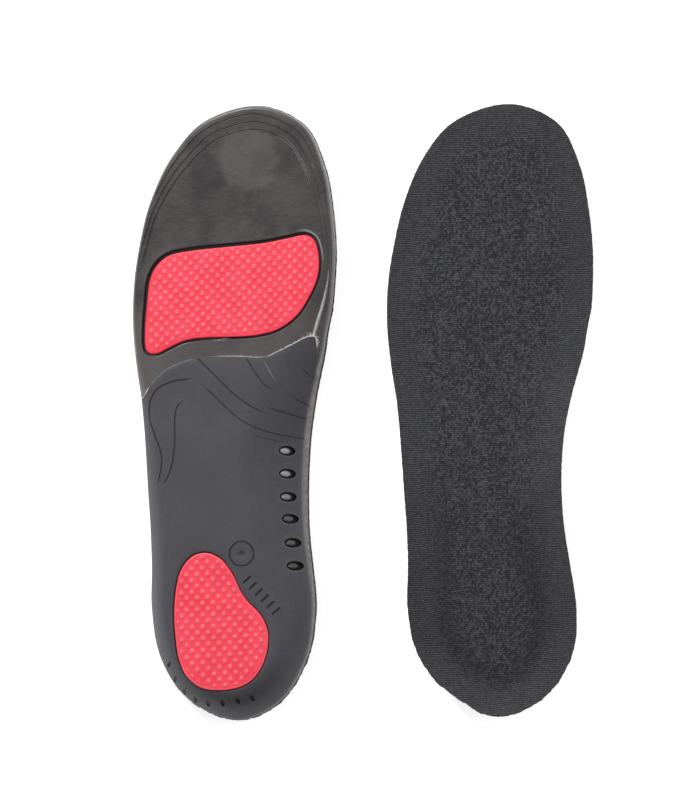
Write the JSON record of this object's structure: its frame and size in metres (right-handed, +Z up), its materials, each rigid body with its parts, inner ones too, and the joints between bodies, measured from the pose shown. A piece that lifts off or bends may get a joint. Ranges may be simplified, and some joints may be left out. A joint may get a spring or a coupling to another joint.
{
  "type": "cushioned insole",
  "caption": "Cushioned shoe insoles for both feet, one lying cover up and one sole up, with knit top covers, foam beds, arch-and-heel shells, gel pads and toe ends that flex",
  "frame": {"origin": "Middle of the pair's bounding box, on the surface that the insoles lie on", "axes": "+Y from the heels to the toes, +X across from the upturned right insole to the left insole, +Z up"},
  "size_m": [0.2032, 0.2708, 0.0275],
  "materials": {
    "knit_cover": "charcoal fine-ribbed knit",
    "foam": "matte grey-brown cut foam",
    "shell": "matte blue-grey moulded, fine grain",
    "forefoot_skin": "glossy warm charcoal film",
    "gel": "glossy coral-red gel with raised dots",
    "pods": "light grey rubber"
  },
  "bodies": {
    "left_rear": {"left_top_cover_rear": "knit_cover", "left_foam_bed_rear": "foam", "left_arch_heel_shell": "shell", "left_forefoot_skin_rear": "forefoot_skin", "left_heel_gel_pad": "gel", "left_arch_pods": "pods"},
    "left_toe": {"left_top_cover_toe": "knit_cover", "left_foam_bed_toe": "foam", "left_forefoot_skin_toe": "forefoot_skin", "left_forefoot_gel_pad": "gel"},
    "right_rear": {"right_top_cover_rear": "knit_cover", "right_foam_bed_rear": "foam", "right_arch_heel_shell": "shell", "right_forefoot_skin_rear": "forefoot_skin", "right_heel_gel_pad": "gel", "right_arch_pods": "pods"},
    "right_toe": {"right_top_cover_toe": "knit_cover", "right_foam_bed_toe": "foam", "right_forefoot_skin_toe": "forefoot_skin", "right_forefoot_gel_pad": "gel"}
  },
  "joints": [
    {"name": "left_toe_flex", "type": "hinge", "parent": "left_rear", "child": "left_toe", "pos_m": [0.05603, 0.0281, 0.0092], "axis": [0.9806, 0.1961, 0], "range_deg": [0, 45], "stiffness_Nm_per_rad": 0.3},
    {"name": "right_slide", "type": "slide", "parent": "left_rear", "child": "right_rear", "axis": [-1, 0, 0], "range_m": [0, 0.05]},
    {"name": "right_toe_flex", "type": "hinge", "parent": "right_rear", "child": "right_toe", "pos_m": [-0.05788, 0.02785, 0.01665], "axis": [0.9659, 0.1824, 0.1838], "range_deg": [0, 30], "stiffness_Nm_per_rad": 0.3}
  ]
}
